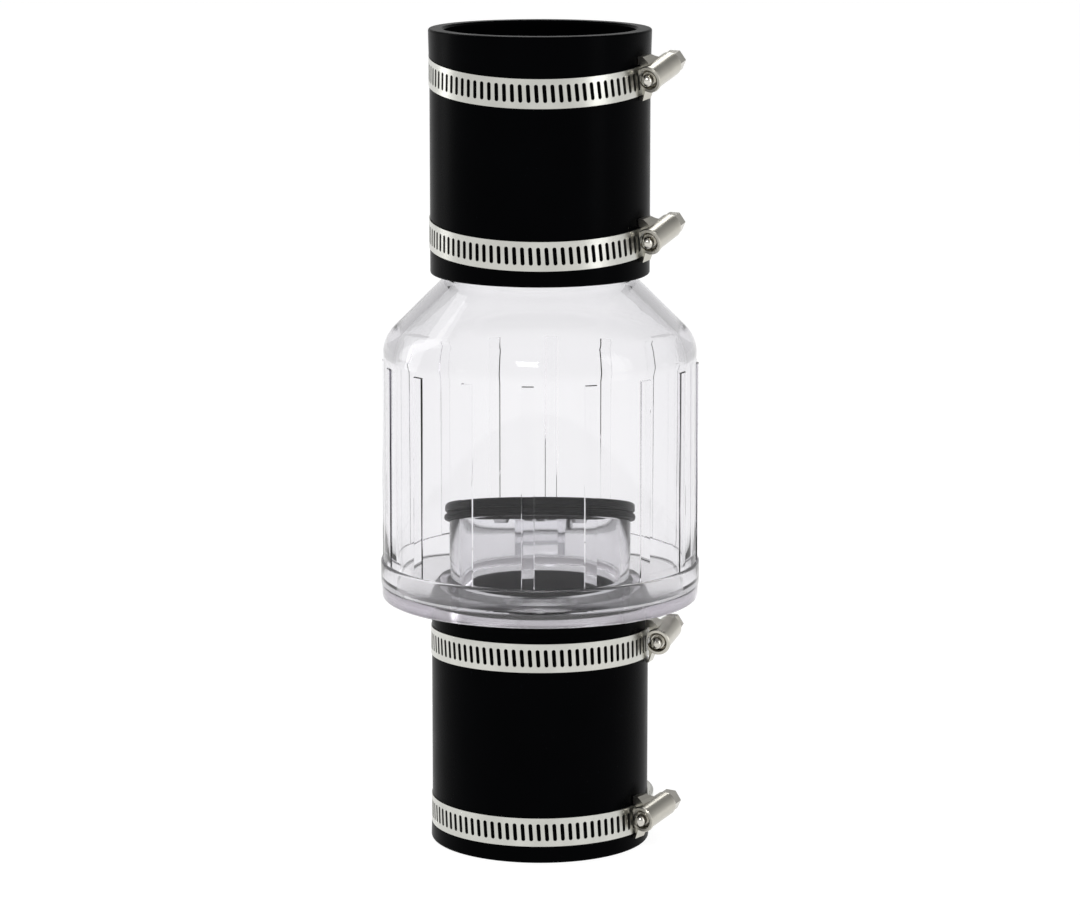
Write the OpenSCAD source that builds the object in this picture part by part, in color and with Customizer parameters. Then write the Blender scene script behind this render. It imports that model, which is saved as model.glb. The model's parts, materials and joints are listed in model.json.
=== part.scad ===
// Inline check valve for a vertical discharge pipe.
// A clear chamber holds a hinged flapper on an inclined seat. Rubber sleeves with worm-drive
// clamps join it to the inlet pipe below and the outlet pipe above.
// Frame: +Z is the flow direction, the Z axis is the pipe's axis, and z = 0 is the foot of the
// lower sleeve. The flapper's hinge is on the +Y side, the clamp screws are on the +X side.

/* [Pipe and sleeves] */
// Outside diameter of the pipe that each sleeve takes
pipe_od = 60.3; // [59.8:0.1:60.8]
// Wall thickness of the rubber sleeves
sleeve_wall = 4.4; // [4.2:0.1:4.8]
// Length of each rubber sleeve
sleeve_h = 77; // [74:1:84]
// Length of the stop ring inside each sleeve
stop_w = 3; // [2:0.5:4]

/* [Chamber] */
// Outside diameter of the chamber wall under its shoulder
chamber_od = 99.2; // [98:0.2:101]
// Wall thickness of the chamber
chamber_wall = 3.6; // [3:0.1:4]
// Height of the chamber from its glue joint to the top of its shoulder
chamber_h = 99.3; // [97:0.1:106]
// Number of stiffening ribs
rib_count = 16; // [8:1:20]
// Angle that each rib spans
rib_span = 4.2; // [3:0.1:6]

/* [Flapper] */
// Slope of the seat
seat_angle = 15; // [13:1:16]
// Furthest opening of the flapper
open_angle = 60; // [50:1:62]
// Thickness of the rubber seal
seal_t = 2.8; // [2.6:0.1:2.9]
// Thickness of the flapper plate
plate_t = 2.9; // [2.7:0.1:3]

/* [Clamps] */
// Width of the clamp band
band_w = 9.1; // [8.8:0.1:9.4]
// Thickness of the clamp band
band_t = 0.65; // [0.6:0.01:0.68]
// Slots in a whole turn of the band
slot_count = 87; // [80:1:90]
// Hexagon across flats of the clamp screw
hex_af = 6.1; // [6:0.05:6.4]

/* [Hidden] */
$fn = 96;
eps = 0.01;
glue_gap = 0.05;   // film of cement, or a light push fit, between fixed parts

// Sleeves
bore_r = pipe_od / 2 + 0.05;
sleeve_r = bore_r + sleeve_wall;
lip_flare = 0.4;                        // the free end stands this much wider than the rest
stop_r = bore_r - 2.7;
stop_z = (sleeve_h - stop_w) / 2;       // from either end of the sleeve to its stop ring
neck_r = bore_r - glue_gap;
neck_bore_r = 26;
neck_len = stop_z;                      // part of each neck that is inside its sleeve

// Heights, from the foot of the lower sleeve
cap_gap = 2;
cap_z = sleeve_h + cap_gap;             // underside of the base cap
cap_t = 4.7;
joint_z = cap_z + cap_t;                // glue joint of base cap and chamber
flange_h = 7.7;
flange_z = joint_z + flange_h;
neck_z = joint_z + chamber_h;           // lower end of the upper sleeve
total_h = neck_z + sleeve_h;

// Chamber
chamber_r = chamber_od / 2;
chamber_in_r = chamber_r - chamber_wall;
flange_r = chamber_r + 1.2;
draft = 0.3;                            // the wall is this much wider at the flange
shoulder_r = 10;                        // outer rounding between wall and shoulder cone
cone_end_z = neck_z - 1.2;
shoulder_z = cone_end_z - (chamber_r - shoulder_r + shoulder_r * cos(45) - neck_r)
             - shoulder_r * sin(45);
rib_r = chamber_r + 0.8;
rib_top_z = shoulder_z - 3.6;
rib_phase = -94.3;                      // direction of the first rib

// Base cap
cap_r = flange_r - 0.4;
spigot_h = 2.8;
spigot_wall = 2.7;
tube_socket = 2.7;                      // depth of the recess that holds the seat tube

// Seat tube and flapper, with the flapper's own frame on the seat plane
tube_r = 28.9;
tube_bore_r = 25.9;
seat_z = joint_z + 19.5;                // height of the seat plane on the pipe's axis
seal_r = 30.6;
plate_r = 30.3;
seat_gap = 0.05;
plate_h = seat_gap + seal_t;            // underside of the plate over the seat plane
plate_top = plate_h + plate_t;
retainer_r = 22;
retainer_t = 1.2;
screw_circle_r = 14;
hinge_y = 34.7;                         // hinge axis from the pipe's axis, along the seat plane
hinge_pos = [0, hinge_y * cos(seat_angle), seat_z - hinge_y * sin(seat_angle)];
pin_r = 1.25;
eye_r = 3;
eye_half_w = 5.8;
ear_in = 6.1;
ear_out = 8.6;
ear_r = 3.6;
bracket_back = hinge_pos[1] + 8;
ear_rise = 1.9;                         // flat top of the bracket over the hinge axis
lug_back = [eye_r - 0.2, 1];            // ends of the lug's back face, from the hinge axis
lug_top = [-0.5, plate_top];

// Clamps, one row each: name, height on the axis, slope of its plane, direction of its mouth (the
// barrel's open end), lift of the band's free end and where that end stops, from the mouth
CLAMPS = [
    ["outlet_pipe", total_h - 12.9, 7.3, -31.8, 1.2, 24],
    ["outlet_neck", neck_z + 13.15, 5.7, -30.7, 1.2, 24],
    ["inlet_neck", sleeve_h - 12, -1.9, -18.6, 1.2, 24],
    ["inlet_pipe", 9.8, -0.3, -34.8, 2.4, 60]
];
groove_r = sleeve_r - 0.4;              // the rubber gives way under the band
band_r = groove_r + 0.02;               // inside of the band
slot_w = 1.25;
slot_len = 5.6;
slot_slant = -4;                        // the slots lean against the screw by the thread's lead
tail_start = -40;                       // where the band's free end lifts off, from the mouth
screw_out = band_r + 4.95;              // screw axis from the pipe's axis, at the mouth
screw_skew = 10;                        // the screw climbs out of its band's plane by this
screw_lift = 0.85;                      // and starts this much over it
barrel_r = 3.9;
barrel_bore_r = 3.2;
barrel_half = 7;
screw_along = barrel_half;              // middle of the barrel from its mouth
barrel_wall = 0.8;                      // end wall under the screw's head
saddle_half_w = 6.2;
thread_r = 3.05;
thread_root_r = 2.3;
thread_pitch = 2 * PI * (band_r + band_t / 2) / slot_count;
tip_r = 1.9;
neck_hole_r = 2.1;

// Points of an arc in a profile, from angle a to angle b
function arc(centre, r, a, b, steps = 10) =
    [for (i = [0 : steps]) centre + r * [cos(a + (b - a) * i / steps), sin(a + (b - a) * i / steps)]];

// A point that lies on a clamp's plane, at angle a and radius r
function clamp_height(c, r, a) = c[1] + r * sin(a) * tan(c[2]);
// Slope of a clamp's band at angle a
function clamp_slope(c, a) = atan(tan(c[2]) * cos(a));

module tube(r, bore, h) {
    difference() {
        cylinder(r = r, h = h);
        translate([0, 0, -eps]) cylinder(r = bore, h = h + 2 * eps);
    }
}

// The flapper's frame: its XY plane is the seat plane, and its Z axis leans towards the hinge
module on_seat() {
    translate([0, 0, seat_z]) rotate([-seat_angle, 0, 0]) children();
}

// Extrudes a side view, drawn as [y, z], across X
module across(half_w) {
    rotate([90, 0, 90]) translate([0, 0, -half_w]) linear_extrude(2 * half_w) children();
}

// ---- Rubber sleeves ----

// A sleeve with its pipe end up. Its bore has a stop ring in the middle.
module sleeve_blank() {
    edge = 0.7;
    rotate_extrude() polygon(concat(
        [[bore_r, 0]],
        arc([sleeve_r - edge, edge], edge, -90, 0, 4),
        [[sleeve_r, sleeve_h - 16]],
        arc([sleeve_r + lip_flare - edge, sleeve_h - edge], edge, 0, 90, 4),
        [[bore_r + edge, sleeve_h], [bore_r, sleeve_h - edge],
         [bore_r, stop_z + stop_w], [stop_r, stop_z + stop_w - 0.5], [stop_r, stop_z + 0.5],
         [bore_r, stop_z]]
    ));
}

// The groove that a tight band presses into the rubber
module band_groove(c) {
    intersection() {
        translate([0, 0, c[1]]) difference() {
            cylinder(r = sleeve_r + 3, h = 40, center = true);
            cylinder(r = groove_r, h = 42, center = true);
        }
        band_slab(c, band_w + 0.5);
    }
}

module sleeve(clamps) {
    color("#17181a") difference() {
        children();
        for (c = clamps) band_groove(c);
    }
}

module upper_sleeve() {
    sleeve([CLAMPS[0], CLAMPS[1]]) translate([0, 0, neck_z]) sleeve_blank();
}

module lower_sleeve() {
    sleeve([CLAMPS[2], CLAMPS[3]]) translate([0, 0, sleeve_h]) mirror([0, 0, 1]) sleeve_blank();
}

// ---- Clear housing ----

module chamber_shell() {
    tip = 0.8;
    in_round = shoulder_r - chamber_wall;
    round_at = [chamber_r - shoulder_r, shoulder_z];
    in_cone_r = round_at[0] + in_round * cos(45);
    in_cone_z = shoulder_z + in_round * sin(45);
    rotate_extrude() polygon(concat(
        [[chamber_in_r, joint_z], [flange_r, joint_z], [flange_r, flange_z - tip],
         [flange_r - tip, flange_z], [chamber_r + draft, flange_z]],
        arc(round_at, shoulder_r, 0, 45, 12),
        [[neck_r, cone_end_z], [neck_r, neck_z + neck_len - tip], [neck_r - tip, neck_z + neck_len],
         [neck_bore_r, neck_z + neck_len], [neck_bore_r, in_cone_z + in_cone_r - neck_bore_r]],
        arc(round_at, in_round, 45, 0, 12)
    ));
}

module rib(i) {
    rib_root = 1;   // sunk into the wall and the flange
    rotate([0, 0, rib_phase + i * 360 / rib_count - rib_span / 2])
        rotate_extrude(angle = rib_span)
            translate([chamber_r - rib_root, flange_z - rib_root])
                square([rib_r - chamber_r + rib_root, rib_top_z - flange_z + rib_root]);
}

module chamber() {
    color("#e9eaf0", 0.3) union() {
        chamber_shell();
        for (i = [0 : rib_count - 1]) rib(i);
    }
}

module base_cap() {
    edge = 1.2;
    foot_z = cap_z - cap_gap - neck_len;
    fit_r = chamber_in_r - glue_gap;
    color("#dddde6", 0.3) rotate_extrude() polygon(concat(
        [[neck_bore_r, foot_z], [neck_r - 0.8, foot_z], [neck_r, foot_z + 0.8],
         [neck_r, cap_z - cap_gap], [neck_r + 2.6, cap_z]],
        arc([cap_r - edge, cap_z + edge], edge, -90, 0, 5),
        [[cap_r, joint_z], [fit_r, joint_z], [fit_r, joint_z + spigot_h - 0.5],
         [fit_r - 0.5, joint_z + spigot_h], [fit_r - spigot_wall, joint_z + spigot_h],
         [fit_r - spigot_wall, joint_z], [tube_r + glue_gap, joint_z],
         [tube_r + glue_gap, joint_z - tube_socket], [neck_bore_r, joint_z - tube_socket]]
    ));
}

// ---- Seat and hinge ----

module seat_tube() {
    foot = joint_z - tube_socket + glue_gap;
    color("#d2d3d6", 0.6) difference() {
        translate([0, 0, foot]) tube(tube_r, tube_bore_r, seat_z + 12 - foot);
        on_seat() translate([-50, -50, 0]) cube([100, 100, 40]);
    }
}

// Side view of the bracket's ears
module ear_outline() {
    foot = joint_z + glue_gap;
    translate([hinge_pos[1], hinge_pos[2]]) circle(r = ear_r);
    front = 25;
    shelf_z = hinge_pos[2] - 1.6;
    top_z = hinge_pos[2] + ear_rise;
    polygon([[front, foot], [bracket_back, foot], [bracket_back, top_z],
             [hinge_pos[1] + 1, top_z], [hinge_pos[1], shelf_z], [front, shelf_z]]);
}

// Side view of the web between the ears. Its sloping face stops the open flapper's lug.
module stop_outline() {
    foot = joint_z + glue_gap;
    front = hinge_pos[1] + 3.7;
    along = (lug_top - lug_back) / norm(lug_top - lug_back);
    out = [along[1], -along[0]];
    near = lug_back + 0.1 * out;
    difference() {
        translate([front, foot]) square([bracket_back - front, hinge_pos[2] + ear_rise - foot]);
        translate([hinge_pos[1], hinge_pos[2]]) rotate(-seat_angle - open_angle)
            polygon([near - 10 * along, near + 20 * along, near + 20 * (along - out),
                     near - 10 * along - 20 * out]);
    }
}

module hinge_bracket() {
    color("#dfe0e6", 0.5) difference() {
        union() {
            difference() {
                across(ear_out) ear_outline();
                translate([-ear_in, 0, joint_z - 1]) cube([2 * ear_in, 60, 40]);
            }
            across(ear_in + eps) stop_outline();
        }
        translate([0, 0, joint_z - 1]) cylinder(r = tube_r + glue_gap, h = 30);
        translate(hinge_pos) rotate([0, 90, 0]) cylinder(r = pin_r + 0.02, h = 40, center = true);
    }
}

// A plain pin with one end bent down
module hinge_pin() {
    bend_x = 10.2;
    color("#b9bcc0") translate(hinge_pos) {
        translate([-10.6, 0, 0]) rotate([0, 90, 0]) cylinder(r = pin_r, h = bend_x + 10.6);
        translate([bend_x, 0, 0]) sphere(r = pin_r);
        translate([bend_x, 0, -5]) cylinder(r = pin_r, h = 5);
    }
}

// Push-on spring washer at the pin's straight end
module pin_clip() {
    clip_t = 0.5;
    color("#8d9094") translate(hinge_pos + [-ear_out - 0.15, 0, 0]) rotate([0, -90, 0]) difference() {
        cylinder(r = 3, h = clip_t);
        translate([0, 0, -eps]) cylinder(r = pin_r + 0.02, h = clip_t + 2 * eps);
        for (a = [0, 120, 240]) rotate([0, 0, a])
            translate([1, -0.3, -eps]) cube([1.1, 0.6, clip_t + 2 * eps]);
    }
}

// ---- Flapper ----

// Side view of the lug that carries the plate's hinge eye
module lug_outline() {
    root = 26;
    translate([hinge_y, 0]) {
        circle(r = eye_r);
        polygon([[root - hinge_y, plate_h + eps], [-eye_r + 0.15, plate_h + eps], [-eye_r + 0.15, 0],
                 [eye_r - 0.15, 0], lug_back, lug_top, [root - hinge_y, plate_top]]);
    }
}

module at_retainer_screws() {
    for (a = [90, 210, 330]) rotate([0, 0, a]) translate([screw_circle_r, 0, 0]) children();
}

module flapper_plate() {
    round_r = 1.3;
    color("#1b1c1f") on_seat() difference() {
        union() {
            rotate_extrude() polygon(concat(
                [[0, plate_h + eps], [plate_r - 0.3, plate_h + eps], [plate_r, plate_h + 0.4]],
                arc([plate_r - round_r, plate_top - round_r], round_r, 0, 90, 6),
                [[0, plate_top]]
            ));
            across(eye_half_w) lug_outline();
        }
        translate([0, hinge_y, 0]) rotate([0, 90, 0]) cylinder(r = pin_r + 0.05, h = 40, center = true);
        at_retainer_screws() cylinder(r = 1.5, h = 4.6);
    }
}

module flapper_seal() {
    bead = 1.1;
    hub_r = 17.5;
    color("#101113") on_seat() rotate_extrude() polygon(concat(
        [[hub_r, seat_gap], [seal_r - bead, seat_gap]],
        arc([seal_r - bead, seat_gap + bead], bead, -75, 75, 6),
        [[seal_r - bead, plate_h], [hub_r, plate_h]]
    ));
}

// Dished ring that holds the seal against the plate, with its boss in the seal's hole
module seal_retainer() {
    color("#232427") on_seat() difference() {
        union() {
            translate([0, 0, seat_gap - retainer_t])
                cylinder(r1 = retainer_r - 0.6, r2 = retainer_r, h = retainer_t - eps);
            translate([0, 0, -retainer_t]) cylinder(r = 17.4, h = plate_h + retainer_t - eps);
        }
        at_retainer_screws() translate([0, 0, -5]) cylinder(r = 1.7, h = 12);
    }
}

module retainer_screws() {
    head_h = 1.3;
    color("#b9bcc0") on_seat() at_retainer_screws() difference() {
        union() {
            translate([0, 0, -retainer_t - head_h - eps]) cylinder(r1 = 2.1, r2 = 2.7, h = head_h);
            translate([0, 0, -retainer_t - 0.5]) cylinder(r = 1.45, h = retainer_t + 4.9);
        }
        translate([0, 0, -retainer_t - head_h - 0.1]) for (b = [0, 90])
            rotate([0, 0, b]) cube([2.6, 0.6, 1.6], center = true);
    }
}

// ---- Worm-drive clamps ----

// Slab that holds everything within width w of a clamp's plane
module band_slab(c, w) {
    translate([0, 0, c[1]]) rotate([c[2], 0, 0]) cube([120, 120, w * cos(c[2])], center = true);
}

// Wedge of space between angles a and b
module wedge(a, b, r, h) {
    rotate([0, 0, a]) rotate_extrude(angle = b - a) translate([0, -h / 2]) square([r, h]);
}

// Frame at a clamp's mouth: +X points out of the sleeve and +Y along the band, towards the head
module at_mouth(c) {
    translate([screw_out * cos(c[3]), screw_out * sin(c[3]), clamp_height(c, band_r, c[3])])
        rotate([0, 0, c[3]]) rotate([clamp_slope(c, c[3]), 0, 0]) children();
}

// Frame at the middle of a clamp's barrel, with +Y along the screw
module at_screw(c) {
    at_mouth(c) translate([0, 0, screw_lift]) rotate([screw_skew, 0, 0])
        translate([0, screw_along, 0]) children();
}

module band_slot(c, a) {
    reach = 8;
    translate([0, 0, clamp_height(c, band_r, a)]) rotate([0, 0, a]) translate([band_r - 2, 0, 0])
        rotate([clamp_slope(c, a) - slot_slant, 0, 0]) rotate([0, 90, 0]) linear_extrude(reach) {
            square([slot_len - slot_w, slot_w], center = true);
            for (s = [-1, 1]) translate([s * (slot_len - slot_w) / 2, 0]) circle(r = slot_w / 2);
        }
}

// The free end, which rises from the band, runs under the screw and springs off the sleeve
module band_tail(c) {
    lift = c[4];
    turn = c[3] + tail_start + 180;
    intersection() {
        translate([lift * cos(turn), lift * sin(turn), c[1] - 20])
            tube(band_r + band_t + lift - 0.02, band_r + lift - 0.02, 40);
        translate([0, 0, c[1]]) wedge(c[3] + tail_start + 14, c[3] + c[5], 50, 50);
    }
}

module clamp_band(c) {
    step = 360 / slot_count;
    color("#c3c4c0") difference() {
        intersection() {
            union() {
                translate([0, 0, c[1] - 20]) tube(band_r + band_t, band_r, 40);
                band_tail(c);
            }
            band_slab(c, band_w);
        }
        for (i = [0 : slot_count - 1]) band_slot(c, c[3] + (i + 0.5) * step);
    }
}

// End view of the housing's wings, drawn as [x, z]: they come down from the barrel's sides and
// straddle the band
module wing_outline() {
    foot = -4.25;
    shelf = -3.2;
    mid = screw_lift + (screw_along - 1.5) * sin(screw_skew);
    polygon([[foot, -saddle_half_w], [shelf, -saddle_half_w], [-1.6, mid + 0.3 - barrel_r],
             [-0.2, mid + 0.02 - barrel_r], [-0.2, mid + barrel_r - 0.02], [-1, mid + barrel_r + 0.9],
             [-2.4, saddle_half_w + 1.4], [foot, saddle_half_w + 1.4]]);
}

// Side view of the wings, drawn as [x, y]: they taper to the feet
module wing_side() {
    polygon(concat(
        [[-4.3, -5.4], [-0.2, -5.8], [-0.2, 2.6]],
        arc([-4.6, 3.2], 4, 0, -70, 6),
        [[-4.3, -0.8]]
    ));
}

module clamp_housing(c) {
    channel_w = band_w + 1.2;
    lip = 0.35;
    color("#bdbcb2") difference() {
        union() {
            at_screw(c) rotate([90, 0, 0]) cylinder(r = barrel_r, h = 2 * barrel_half, center = true);
            at_screw(c) translate([0, -barrel_half, 0]) rotate([-90, 0, 0]) {
                cylinder(r1 = barrel_r + 0.1, r2 = barrel_r + lip, h = 0.3);
                translate([0, 0, 0.3]) cylinder(r = barrel_r + lip, h = 0.5);
                translate([0, 0, 0.8]) cylinder(r1 = barrel_r + lip, r2 = barrel_r, h = 0.5);
            }
            at_mouth(c) translate([0, screw_along, 0]) intersection() {
                rotate([90, 0, 0]) linear_extrude(2 * barrel_half, center = true) wing_outline();
                linear_extrude(16, center = true) wing_side();
            }
        }
        at_screw(c) {
            translate([0, -barrel_half - eps, 0]) rotate([-90, 0, 0])
                cylinder(r = barrel_bore_r, h = 2 * barrel_half - barrel_wall);
            rotate([-90, 0, 0]) cylinder(r = neck_hole_r + 0.08, h = 20);
        }
        at_mouth(c) translate([-12, -5, -channel_w / 2]) cube([8.9, 25, channel_w]);
    }
}

// Worm screw along +Y: rounded tip, thread, collar and hexagon head
module clamp_screw(c) {
    start = -barrel_half + 0.9;
    thread_end = barrel_half - barrel_wall - 0.2;
    turns = floor((thread_end - start - 0.6) / thread_pitch);
    head_y = barrel_half + 0.15;
    collar_t = 0.8;
    head_h = 3.2;
    edge = 0.5;
    color("#c9c8c0") at_screw(c) {
        rotate([-90, 0, 0]) {
            translate([0, 0, start]) cylinder(r = thread_root_r, h = thread_end - start);
            translate([0, 0, start - 1.5]) cylinder(r = tip_r, h = 3);
            translate([0, 0, start - 1.4]) sphere(r = tip_r + 0.02);
            translate([0, 0, thread_end - 0.5]) cylinder(r = neck_hole_r, h = head_y - thread_end + 1);
            translate([0, 0, head_y]) cylinder(r = barrel_r - 0.45, h = collar_t);
            intersection() {
                translate([0, 0, head_y + collar_t - 0.1])
                    cylinder(r = hex_af / 2 / cos(30), h = head_h, $fn = 6);
                translate([0, 0, head_y])
                    cylinder(r1 = hex_af, r2 = hex_af / 2, h = head_h + collar_t + edge);
            }
        }
        for (i = [0 : turns - 1])
            translate([0, start + 0.6 + i * thread_pitch, 0]) rotate([-90, 0, 0]) rotate_extrude()
                polygon([[1, 0], [thread_root_r, 0], [thread_r, 0.65], [thread_r, 1.1],
                         [thread_root_r, 1.75], [1, 1.75]]);
    }
}

upper_sleeve();
lower_sleeve();
chamber();
base_cap();
seat_tube();
hinge_bracket();
hinge_pin();
pin_clip();
flapper_plate();
flapper_seal();
seal_retainer();
retainer_screws();
for (c = CLAMPS) {
    clamp_band(c);
    clamp_housing(c);
    clamp_screw(c);
}
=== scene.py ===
"""Looks of a clear inline check valve: rubber sleeves, worm-drive clamps and a clear ribbed chamber.

Everything is in metres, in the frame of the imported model: +Z up the pipe, z = 0 at its foot.
"""
import json
import math

import bmesh
import bpy
from mathutils import Matrix, Vector


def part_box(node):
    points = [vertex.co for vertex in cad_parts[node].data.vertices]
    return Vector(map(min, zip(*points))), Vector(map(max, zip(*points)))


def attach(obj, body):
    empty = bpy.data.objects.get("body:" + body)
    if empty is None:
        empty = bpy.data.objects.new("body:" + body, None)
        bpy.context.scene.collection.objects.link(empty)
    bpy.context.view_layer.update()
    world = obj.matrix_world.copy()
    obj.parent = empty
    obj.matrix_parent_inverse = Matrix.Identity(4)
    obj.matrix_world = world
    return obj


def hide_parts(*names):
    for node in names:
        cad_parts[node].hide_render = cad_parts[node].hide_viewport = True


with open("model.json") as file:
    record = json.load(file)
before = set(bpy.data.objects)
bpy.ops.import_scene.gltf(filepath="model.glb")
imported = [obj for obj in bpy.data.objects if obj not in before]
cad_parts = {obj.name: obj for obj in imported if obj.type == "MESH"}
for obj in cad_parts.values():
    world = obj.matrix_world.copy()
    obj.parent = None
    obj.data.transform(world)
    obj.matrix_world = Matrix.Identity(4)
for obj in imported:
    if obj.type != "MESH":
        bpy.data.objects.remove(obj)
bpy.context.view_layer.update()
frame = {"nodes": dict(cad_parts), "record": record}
nodes = frame["nodes"]
scene = bpy.context.scene

MM = 0.001
ABSORPTION = 36.0       # per metre, before the colour

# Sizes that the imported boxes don't give, in millimetres
WALL, SHOULDER_R, SEAM = 3.6, 10.0, 0.02
CHAMBER_R, RIB_H, RIB_COUNT, RIB_SPAN, RIB_PHASE = 49.6, 0.65, 16, 4.2, -94.3
RIB_DROP = 3.6          # from the start of the shoulder to the top of the ribs
NECK_R, NECK_BORE_R, TUBE_BORE_R = 30.15, 26.0, 25.9
FLANGE_H, CAP_T, CAP_GAP = 7.7, 4.7, 2.0
SEAT_ANGLE, SEAT_RISE = 15.0, 19.5


def box_mm(name):
    low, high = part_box(name)
    return low / MM, high / MM


CHAMBER_IN_R = CHAMBER_R - WALL
JOINT_Z, NECK_TOP = box_mm("chamber")[0].z, box_mm("chamber")[1].z
FLANGE_Z, FLANGE_R = JOINT_Z + FLANGE_H, box_mm("chamber")[1].x
CAP_FOOT, CAP_R = box_mm("base_cap")[0].z, box_mm("base_cap")[1].x
CAP_Z = JOINT_Z - CAP_T
TUBE_R = box_mm("seat_tube")[1].x
SEAT_Z = JOINT_Z + SEAT_RISE
NECK_Z = box_mm("upper_sleeve")[0].z
CONE_END = NECK_Z - 1.2
SHOULDER_Z = CONE_END - (CHAMBER_R - SHOULDER_R + SHOULDER_R * math.cos(math.radians(45)) - NECK_R) \
    - SHOULDER_R * math.sin(math.radians(45))
RIB_TOP = SHOULDER_Z - RIB_DROP


# ---- Materials ----

class Graph:
    """A node material with one Principled shader, and short calls that add nodes to it."""

    def __init__(self, name, **sockets):
        self.material = bpy.data.materials.new(name)
        self.material.use_nodes = True
        self.tree = self.material.node_tree
        self.shader = self.tree.nodes["Principled BSDF"]
        for key, value in sockets.items():
            self.shader.inputs[key.replace("_", " ")].default_value = value

    def node(self, kind, **settings):
        made = self.tree.nodes.new("ShaderNode" + kind)
        for key, value in settings.items():
            if hasattr(made, key):
                setattr(made, key, value)
            else:
                made.inputs[key.replace("_", " ")].default_value = value
        return made

    def link(self, source, target):
        self.tree.links.new(source, target)

    def coords(self, scale=(1, 1, 1)):
        """Object coordinates, stretched by scale."""
        mapping = self.node("Mapping")
        mapping.inputs["Scale"].default_value = scale
        self.link(self.node("TexCoord").outputs["Object"], mapping.inputs["Vector"])
        return mapping.outputs["Vector"]

    def noise(self, scale, detail=4.0, roughness=0.5, stretch=(1, 1, 1)):
        made = self.node("TexNoise", Scale=scale, Detail=detail, Roughness=roughness)
        self.link(self.coords(stretch), made.inputs["Vector"])
        return made.outputs["Fac"]

    def ramp(self, source, low, high, colours):
        """Maps source from low..high onto a blend of two colours."""
        made = self.node("ValToRGB")
        made.color_ramp.elements[0].position = low
        made.color_ramp.elements[1].position = high
        for element, colour in zip(made.color_ramp.elements, colours):
            element.color = (*colour, 1)
        self.link(source, made.inputs["Fac"])
        return made.outputs["Color"]

    def spread(self, source, low, high):
        """Maps 0..1 onto low..high."""
        made = self.node("MapRange")
        made.inputs["To Min"].default_value = low
        made.inputs["To Max"].default_value = high
        self.link(source, made.inputs["Value"])
        return made.outputs["Result"]

    def set(self, socket, source):
        self.link(source, self.shader.inputs[socket])

    def bump(self, *layers):
        """Adds bump layers, each (source, height in metres, strength)."""
        last = None
        for source, height, strength in layers:
            made = self.node("Bump", Distance=height, Strength=strength)
            self.link(source, made.inputs["Height"])
            if last is not None:
                self.link(last, made.inputs["Normal"])
            last = made.outputs["Normal"]
        self.set("Normal", last)


def rubber(name, tone, sheen=0.03, rough=(0.22, 0.34)):
    g = Graph(name, Specular_IOR_Level=sheen)
    dark = tuple(0.7 * t for t in tone)
    g.set("Base Color", g.ramp(g.noise(70, 6), 0.3, 0.75, (dark, tone)))
    g.set("Roughness", g.spread(g.noise(160, 5), *rough))
    g.bump((g.noise(900, 3), 0.00004, 0.2), (g.noise(45, 2), 0.0004, 0.1))
    return g.material


def steel(name, tone, rough=(0.22, 0.38), grain=(1, 1, 60)):
    g = Graph(name, Metallic=1.0)
    dark = tuple(0.86 * t for t in tone)
    g.set("Base Color", g.ramp(g.noise(120, 4), 0.3, 0.7, (dark, tone)))
    g.set("Roughness", g.spread(g.noise(220, 5, stretch=grain), *rough))
    g.bump((g.noise(150, 4, stretch=grain), 0.00002, 0.35))
    return g.material


def clear(name, tint, rough, depth_colour, bend=1.32, wave=0.1, haze=0.0):
    """Clear moulded plastic. depth_colour tints its depth, and haze is the share of light it scatters."""
    g = Graph(name, IOR=bend, Transmission_Weight=1.0 - haze)
    faint = tuple(0.985 * t for t in tint)
    g.set("Base Color", g.ramp(g.noise(25, 3), 0.3, 0.7, (faint, tint)))
    g.set("Roughness", g.spread(g.noise(60, 4), *rough))
    g.bump((g.noise(18, 2, stretch=(1, 1, 0.35)), 0.0004, wave))
    depth = g.node("VolumeAbsorption")
    depth.inputs["Color"].default_value = (*depth_colour, 1)
    depth.inputs["Density"].default_value = ABSORPTION
    g.link(depth.outputs["Volume"], g.tree.nodes["Material Output"].inputs["Volume"])
    return g.material


MATERIALS = {
    "black_rubber": rubber("black_rubber", (0.0008, 0.0009, 0.0012), 0.012),
    "seal_rubber": rubber("seal_rubber", (0.001, 0.001, 0.002), 0.04, (0.3, 0.42)),
    "black_plastic": rubber("black_plastic", (0.0012, 0.0014, 0.0026), 0.06, (0.25, 0.35)),
    "clear_plastic": clear("clear_plastic", (0.99, 0.99, 0.993), (0.0, 0.02), (0.50, 0.48, 0.54)),
    "clear_plastic_cap": clear("clear_plastic_cap", (0.98, 0.975, 0.985), (0.08, 0.15), (0.80, 0.78, 0.815),
                               1.34, haze=0.06),
    "frosted_plastic": clear("frosted_plastic", (0.97, 0.97, 0.98), (0.05, 0.1), (0.75, 0.74, 0.77), 1.2),
    "band_steel": steel("band_steel", (0.60, 0.60, 0.56)),
    "housing_steel": steel("housing_steel", (0.58, 0.56, 0.50), (0.24, 0.34), (1, 1, 1)),
    "screw_steel": steel("screw_steel", (0.62, 0.60, 0.55), (0.16, 0.26), (1, 1, 1)),
    "pin_steel": steel("pin_steel", (0.62, 0.62, 0.62), (0.2, 0.3), (1, 1, 1)),
}

for part in frame["record"]["subparts"]:
    node = nodes[part["node"]]
    node.data.materials.clear()
    node.data.materials.append(MATERIALS[part["material_slot"]])


# ---- Clear pieces ----

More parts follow.
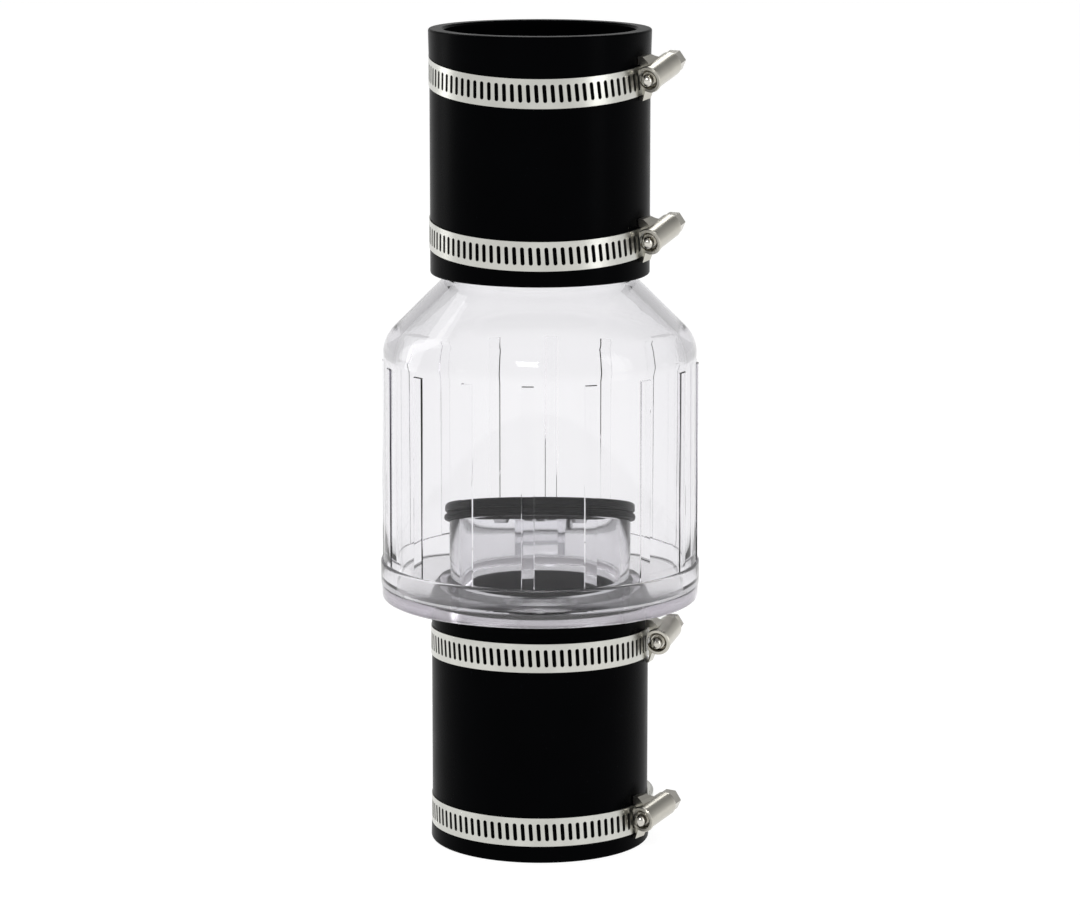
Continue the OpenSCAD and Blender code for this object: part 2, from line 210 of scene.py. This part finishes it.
def finish_mesh(name, verts, faces, slot, body, *replaced, sharp=32):
    """Makes a piece from a mesh in metres that stands for CAD nodes and rides on a body."""
    mesh = bpy.data.meshes.new(name)
    mesh.from_pydata(verts, [], faces)
    mesh.validate()
    piece = bpy.data.objects.new(name, mesh)
    scene.collection.objects.link(piece)
    work = bmesh.new()
    work.from_mesh(mesh)
    bmesh.ops.remove_doubles(work, verts=work.verts, dist=1e-7)
    bmesh.ops.recalc_face_normals(work, faces=work.faces)
    work.to_mesh(mesh)
    work.free()
    mesh.polygons.foreach_set("use_smooth", [True] * len(mesh.polygons))
    mesh.set_sharp_from_angle(angle=math.radians(sharp))
    mesh.materials.append(MATERIALS[slot])
    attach(piece, body)
    if replaced:
        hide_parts(*replaced)
    return piece


def grid(angles, rings, place):
    """A closed surface of revolution: place(ring, angle) gives (radius, height) in millimetres."""
    verts, faces = [], []
    for angle in angles:
        c, s = math.cos(math.radians(angle)), math.sin(math.radians(angle))
        for ring in rings:
            r, z = place(ring, angle)
            verts.append((r * c * MM, r * s * MM, z * MM))
    n, m = len(angles), len(rings)
    for i in range(n):
        j = (i + 1) % n
        for k in range(m):
            q = (k + 1) % m
            faces.append((i * m + k, j * m + k, j * m + q, i * m + q))
    return verts, faces


def arc(centre, radius, start, end, steps):
    """Points of an arc in a profile, as (radius, height)."""
    turns = [math.radians(start + (end - start) * i / steps) for i in range(steps + 1)]
    return [(centre[0] + radius * math.cos(t), centre[1] + radius * math.sin(t)) for t in turns]


def rounded(points, steps=5):
    """A closed outline from (radius, height, rounding) corners, with each corner filleted."""
    out = []
    for i, (x, y, fillet) in enumerate(points):
        here = Vector((x, y))
        before = Vector(points[i - 1][:2]) - here
        after = Vector(points[(i + 1) % len(points)][:2]) - here
        if fillet <= 0:
            out.append((x, y))
            continue
        before.normalize()
        after.normalize()
        half = math.acos(max(-1, min(1, before.dot(after)))) / 2
        back = fillet / math.tan(half)
        centre = here + (before + after).normalized() * (fillet / math.sin(half))
        start, end = here + before * back - centre, here + after * back - centre
        sweep = start.angle_signed(end)
        for step in range(steps + 1):
            turn = Matrix.Rotation(-sweep * step / steps, 2)
            out.append(tuple(centre + turn @ start))
    return out


def clear_chamber():
    """The chamber: a turned shell with a rounded shoulder, and shallow square-cut ribs."""
    shoulder = SHOULDER_R
    round_at = (CHAMBER_R - shoulder, SHOULDER_Z)
    inner = 14.0
    cone_line = CHAMBER_R - shoulder + SHOULDER_Z + math.sqrt(2) * (shoulder - WALL)
    inner_at = (CHAMBER_IN_R - inner, cone_line - math.sqrt(2) * inner - CHAMBER_IN_R + inner)
    edge = 0.22
    outside = [(FLANGE_R - 0.5, JOINT_Z + SEAM), (FLANGE_R, JOINT_Z + 0.5)]
    outside += arc((FLANGE_R - 0.8, FLANGE_Z - 0.8), 0.8, 0, 90, 5)
    outside += arc((CHAMBER_R + 0.3 + edge, FLANGE_Z + edge), edge, 270, 180, 2)
    low = FLANGE_Z + edge
    outside += [(CHAMBER_R + 0.3 * (RIB_TOP - z) / (RIB_TOP - low), z)
                for z in (low + (RIB_TOP - low) * i / 6 for i in range(1, 7))]
    outside += [(CHAMBER_R, RIB_TOP + edge)]
    outside += arc(round_at, shoulder, 0, 45, 16)
    outside += arc((NECK_R + 1.2, CONE_END + 0.5), 1.2, 225, 180, 4)
    outside += arc((NECK_R - 0.8, NECK_TOP - 0.8), 0.8, 0, 90, 4)
    soft = 9.0
    inside = arc((NECK_BORE_R + 0.8, NECK_TOP - 0.8), 0.8, 90, 180, 4)
    meet = cone_line - NECK_BORE_R
    bend = soft * math.tan(math.radians(22.5))
    inside += arc((NECK_BORE_R + soft, meet + bend), soft, 180, 225, 8)
    inside += arc(inner_at, inner, 45, 0, 20)
    inside += [(CHAMBER_IN_R, FLANGE_Z), (CHAMBER_IN_R, JOINT_Z + SEAM)]
    rings = outside + inside
    half = RIB_SPAN / 2
    lean = math.degrees(edge / CHAMBER_R)
    gap = 360 / RIB_COUNT
    steps = 12          # stretches between two ribs
    angles, is_rib = [], {}
    for i in range(RIB_COUNT):
        mid = RIB_PHASE + i * gap
        across = ((-half - lean, False), (-half, True), (0, True), (half, True), (half + lean, False))
        for off, on in across:
            angles.append(mid + off)
            is_rib[mid + off] = on
        free = gap - 2 * (half + lean)
        for k in range(1, steps):
            angles.append(mid + half + lean + free * k / steps)
    bottom = FLANGE_Z + edge

    def place(ring, angle):
        r, z = ring
        if is_rib.get(angle) and r > CHAMBER_IN_R + 1 and bottom - 0.001 <= z <= RIB_TOP + 0.001:
            r = CHAMBER_R + RIB_H
        return r, z

    verts, faces = grid(angles, rings, place)
    finish_mesh("clear_chamber", verts, faces, "clear_plastic", "valve_body", "chamber")


def clear_base_cap():
    """The base cap: neck and rounded disc. Cement fills its joints, so they don't show as gaps."""
    outline = rounded([
        (NECK_BORE_R, CAP_FOOT, 0.5), (NECK_R, CAP_FOOT, 0.7), (NECK_R, CAP_Z - CAP_GAP, 0.8),
        (NECK_R + 2.6, CAP_Z, 0.8), (CAP_R, CAP_Z, 1.2), (CAP_R, JOINT_Z, 0.3), (NECK_BORE_R, JOINT_Z, 0.3)])
    angles = [i * 1.5 for i in range(240)]
    verts, faces = grid(angles, outline, lambda ring, angle: ring)
    finish_mesh("clear_base_cap", verts, faces, "clear_plastic_cap", "valve_body", "base_cap")


def frosted_seat_tube():
    """The seat tube. Its top is cut at the seat's slope and eased at both edges."""
    foot = JOINT_Z + SEAM
    ease = 0.35
    slope = math.tan(math.radians(SEAT_ANGLE))
    rings = [(TUBE_R, "foot", 0), (TUBE_R, "top", -ease), (TUBE_R - 0.3 * ease, "top", -0.3 * ease),
             (TUBE_R - ease, "top", 0), (TUBE_BORE_R + ease, "top", 0),
             (TUBE_BORE_R + 0.3 * ease, "top", -0.3 * ease), (TUBE_BORE_R, "top", -ease),
             (TUBE_BORE_R, "foot", 0)]

    def place(ring, angle):
        r, end, drop = ring
        if end == "foot":
            return r, foot
        return r, SEAT_Z - r * math.sin(math.radians(angle)) * slope + drop

    verts, faces = grid([i * 1.5 for i in range(240)], rings, place)
    finish_mesh("frosted_seat_tube", verts, faces, "frosted_plastic", "valve_body", "seat_tube")


clear_chamber()
clear_base_cap()
frosted_seat_tube()


# ---- Stage, light and camera ----

FLOOR_GLOW = 0.89


def area_light(name, place, aim, size, watts):
    light = bpy.data.lights.new(name, "AREA")
    light.shape = "RECTANGLE"
    light.size, light.size_y = size
    light.energy = watts
    lamp = bpy.data.objects.new(name, light)
    lamp.location = place
    lamp.rotation_euler = (Vector(aim) - Vector(place)).to_track_quat("-Z", "Y").to_euler()
    scene.collection.objects.link(lamp)


def studio_floor():
    """A wide pale floor."""
    reach = 6.0
    mesh = bpy.data.meshes.new("floor")
    corners = [(-reach, -reach), (reach, -reach), (reach, reach), (-reach, reach)]
    mesh.from_pydata([(x, y, 0) for x, y in corners], [], [(0, 1, 2, 3)])
    floor = bpy.data.objects.new("floor", mesh)
    scene.collection.objects.link(floor)
    g = Graph("floor_white", Base_Color=(0.22, 0.22, 0.22, 1), Roughness=0.9, Emission_Strength=FLOOR_GLOW)
    g.shader.inputs["Emission Color"].default_value = (1, 1, 1, 1)
    mesh.materials.append(g.material)


def world_light(strength, ceiling):
    """Even white light all round, falling off towards the ceiling."""
    world = bpy.data.worlds.new("studio")
    scene.world = world
    world.use_nodes = True
    tree = world.node_tree
    shade = tree.nodes["Background"]
    shade.inputs["Color"].default_value = (1, 1, 1, 1)
    split = tree.nodes.new("ShaderNodeSeparateXYZ")
    fall = tree.nodes.new("ShaderNodeMapRange")
    fall.inputs["From Max"].default_value = 0.7
    fall.inputs["To Min"].default_value = strength
    fall.inputs["To Max"].default_value = ceiling
    tree.links.new(tree.nodes.new("ShaderNodeTexCoord").outputs["Generated"], split.inputs["Vector"])
    tree.links.new(split.outputs["Z"], fall.inputs["Value"])
    tree.links.new(fall.outputs["Result"], shade.inputs["Strength"])


def camera():
    lens, distance, height, tilt = 140.0, 1.3129, 0.3672, 10.51
    data = bpy.data.cameras.new("camera")
    data.lens = lens
    data.sensor_width = 36.0
    data.clip_start = 0.05
    made = bpy.data.objects.new("camera", data)
    made.location = (0, -distance, height)
    made.rotation_euler = (math.radians(90 - tilt), 0, 0)
    scene.collection.objects.link(made)
    scene.camera = made


studio_floor()
world_light(0.8, 0.3)
camera()
area_light("key", (-0.25, -1.4, 1.15), (0, 0, 0.14), (0.45, 0.16), 8)
area_light("fill", (1.1, -0.6, 0.5), (0, 0, 0.14), (0.4, 1.2), 3)
area_light("rim", (-1.1, 0.5, 0.6), (0, 0, 0.14), (0.4, 1.2), 3)
area_light("top", (0, 1.0, 1.4), (0, 0, 0.2), (1.0, 0.5), 5)
scene.view_settings.view_transform = "Standard"
